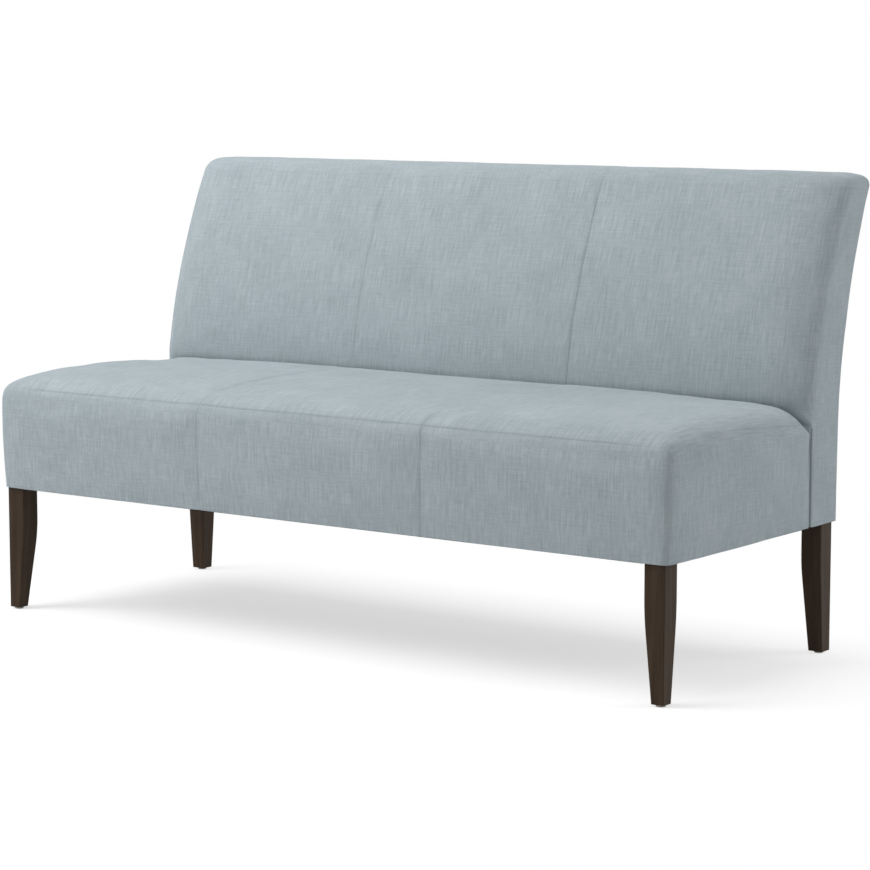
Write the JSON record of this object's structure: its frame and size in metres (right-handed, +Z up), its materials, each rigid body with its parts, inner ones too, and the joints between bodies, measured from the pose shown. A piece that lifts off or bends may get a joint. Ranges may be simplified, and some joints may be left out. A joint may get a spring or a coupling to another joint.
{
  "type": "upholstered banquette",
  "caption": "Armless upholstered bench seat with a curved, raked back, a crowned tight seat and a plain boxed front, standing on square tapered wood legs.",
  "frame": {"origin": "on the floor under the middle of the banquette's bounding box", "axes": "+X along the seat to the right as seen from the front, +Y from the front to the rear, +Z up"},
  "size_m": [1.578, 0.724, 0.902],
  "materials": {
    "cover_fabric": "matte",
    "leg_wood": "satin",
    "frame_wood": "matte",
    "dowel_wood": "matte",
    "screw_steel": "satin",
    "glide_plastic": "satin",
    "webbing": "matte",
    "deck_cloth": "matte",
    "foam": "matte",
    "wadding": "matte",
    "board": "matte",
    "dust_cloth": "matte"
  },
  "bodies": {
    "root": {"seat_top_left_panel": "cover_fabric", "seat_top_center_panel": "cover_fabric", "seat_top_right_panel": "cover_fabric", "seat_boxing_left_panel": "cover_fabric", "seat_boxing_center_panel": "cover_fabric", "seat_boxing_right_panel": "cover_fabric", "inside_back_left_panel": "cover_fabric", "inside_back_center_panel": "cover_fabric", "inside_back_right_panel": "cover_fabric", "back_side_left_panel": "cover_fabric", "back_side_right_panel": "cover_fabric", "outside_back_panel": "cover_fabric", "front_left_leg": "leg_wood", "front_right_leg": "leg_wood", "rear_left_leg": "leg_wood", "rear_right_leg": "leg_wood", "front_seat_rail": "frame_wood", "rear_seat_rail": "frame_wood", "left_seat_rail": "frame_wood", "right_seat_rail": "frame_wood", "left_seat_stretcher": "frame_wood", "right_seat_stretcher": "frame_wood", "front_left_corner_block": "frame_wood", "front_right_corner_block": "frame_wood", "rear_left_corner_block": "frame_wood", "rear_right_corner_block": "frame_wood", "back_top_rail": "frame_wood", "back_lower_rail": "frame_wood", "left_back_upright": "frame_wood", "right_back_upright": "frame_wood", "frame_dowels": "dowel_wood", "corner_block_screws": "screw_steel", "leg_glides": "glide_plastic", "seat_webbing_crosswise": "webbing", "seat_webbing_lengthwise": "webbing", "back_webbing": "webbing", "seat_deck_cloth": "deck_cloth", "seat_foam": "foam", "back_foam": "foam", "seat_wadding": "wadding", "back_wadding": "wadding", "outside_back_board": "board", "outside_back_tack_strip": "board", "dust_cover": "dust_cloth"}
  },
  "joints": []
}
